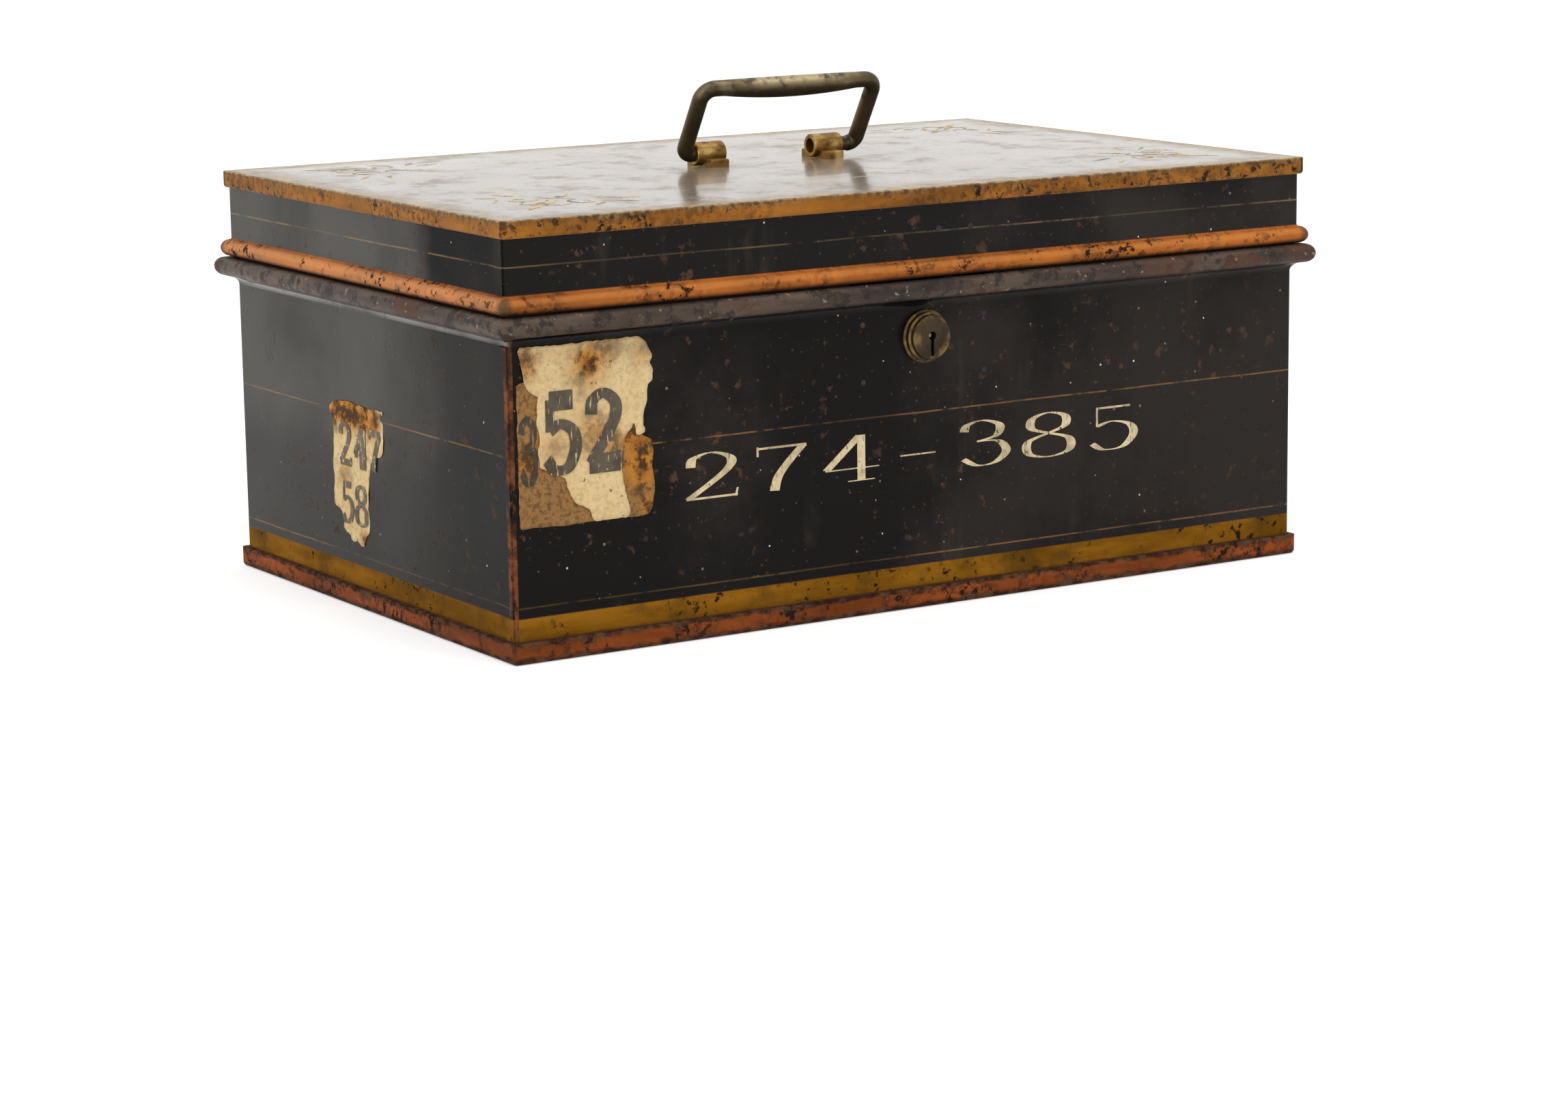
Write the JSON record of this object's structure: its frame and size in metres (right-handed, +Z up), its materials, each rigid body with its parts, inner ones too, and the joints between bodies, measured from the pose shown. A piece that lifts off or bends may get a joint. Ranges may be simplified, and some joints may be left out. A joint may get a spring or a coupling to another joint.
{
  "type": "deed box",
  "caption": "Lockable japanned metal box with a hinged lid, a wired rim, a swinging handle on top and a keyhole boss at the front, for storing papers and keepsakes.",
  "frame": {"origin": "under the middle of the flat bottom, on the surface the box stands on", "axes": "+X to the right along the front (the long way), +Y to the back, +Z up; the front with the keyhole faces -Y"},
  "size_m": [0.4082, 0.2736, 0.2169],
  "materials": {
    "japanned_black": "worn gloss japan",
    "japanned_brown": "worn satin japan with rust",
    "japanned_inside": "satin",
    "steel": "aged",
    "brass": "aged, unpolished",
    "paper": "aged paper"
  },
  "bodies": {
    "body": {"body_wrapper": "japanned_black", "body_bottom": "japanned_brown", "body_rim_wire": "steel", "inner_lip": "japanned_inside", "escutcheon": "brass", "lock_cap": "steel", "lock_case": "steel", "lock_key_pin": "steel", "lock_wards": "steel", "lock_back_spring": "steel", "lock_rivets": "japanned_black", "hinge_left_body_leaf": "japanned_inside", "hinge_right_body_leaf": "japanned_inside", "hinge_left_pin": "steel", "hinge_right_pin": "steel", "hinge_body_rivets": "japanned_inside", "label_front": "paper", "label_side": "paper"},
    "lid": {"lid_skirt": "japanned_black", "lid_top": "japanned_black", "lid_hasp": "steel", "hasp_staple": "steel", "hasp_rivets": "japanned_black", "hinge_left_lid_leaf": "japanned_inside", "hinge_right_lid_leaf": "japanned_inside", "hinge_lid_rivets": "japanned_inside", "handle_knuckle_left": "brass", "handle_knuckle_right": "brass", "handle_backplate": "japanned_inside", "handle_burrs": "brass"},
    "bail": {"handle_bail": "brass"},
    "bolt": {"lock_bolt": "steel"}
  },
  "joints": [
    {"name": "lid_hinge", "type": "hinge", "parent": "body", "child": "lid", "pos_m": [0, 0.137, 0.1396], "axis": [-1, 0, 0], "range_deg": [0, 105]},
    {"name": "handle_swing", "type": "hinge", "parent": "lid", "child": "bail", "pos_m": [0, 0, 0.1838], "axis": [1, 0, 0], "range_deg": [-122, 59]},
    {"name": "lock_bolt_slide", "type": "slide", "parent": "body", "child": "bolt", "axis": [1, 0, 0], "range_m": [0, 0.007]}
  ]
}
